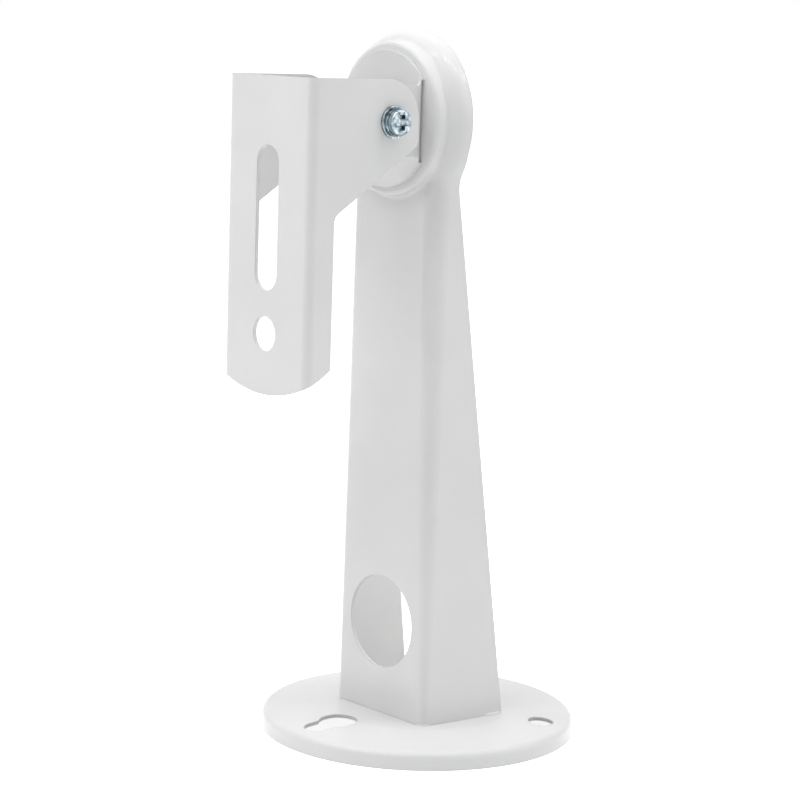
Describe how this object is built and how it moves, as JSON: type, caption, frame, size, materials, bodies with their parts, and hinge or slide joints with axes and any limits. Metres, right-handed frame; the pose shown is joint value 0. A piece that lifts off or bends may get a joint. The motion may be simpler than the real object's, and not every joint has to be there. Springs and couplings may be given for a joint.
{
  "type": "camera wall bracket",
  "caption": "Round-based sheet-metal wall bracket with a tapered open-backed arm, a turning head and a slotted tilting plate for a camera.",
  "frame": {"origin": "centre of the round base, in the plane of its rim, which is the wall or ceiling surface", "axes": "+Z runs from the wall along the arm to the head; the camera plate faces -Y; +X is to the right for someone who looks at the plate from the front, along +Y"},
  "size_m": [0.091, 0.1048, 0.2005],
  "materials": {
    "white_enamel": "glossy white stoved enamel with a fine orange peel",
    "bright_zinc": "bright bluish zinc plating",
    "spacer_plastic": "natural nylon"
  },
  "bodies": {
    "arm": {"base_plate": "white_enamel", "arm_channel": "white_enamel"},
    "pivot": {"pivot_bracket": "white_enamel", "pan_bolt": "bright_zinc", "pan_flat_washer": "bright_zinc", "pan_spring_washer": "bright_zinc", "pan_nut": "bright_zinc", "tilt_flat_washer_right": "bright_zinc", "tilt_spring_washer_right": "bright_zinc", "tilt_screw_right": "bright_zinc", "tilt_flat_washer_left": "bright_zinc", "tilt_spring_washer_left": "bright_zinc", "tilt_screw_left": "bright_zinc", "tilt_spacer_right": "spacer_plastic", "tilt_spacer_left": "spacer_plastic"},
    "plate": {"camera_plate": "white_enamel"}
  },
  "joints": [
    {"name": "pan", "type": "hinge", "parent": "arm", "child": "pivot", "pos_m": [0, -0.01935, 0.17605], "axis": [0, 1, 0], "continuous": true},
    {"name": "tilt", "type": "hinge", "parent": "pivot", "child": "plate", "pos_m": [0, -0.03158, 0.17605], "axis": [1, 0, 0], "range_deg": [-90, 25]}
  ]
}
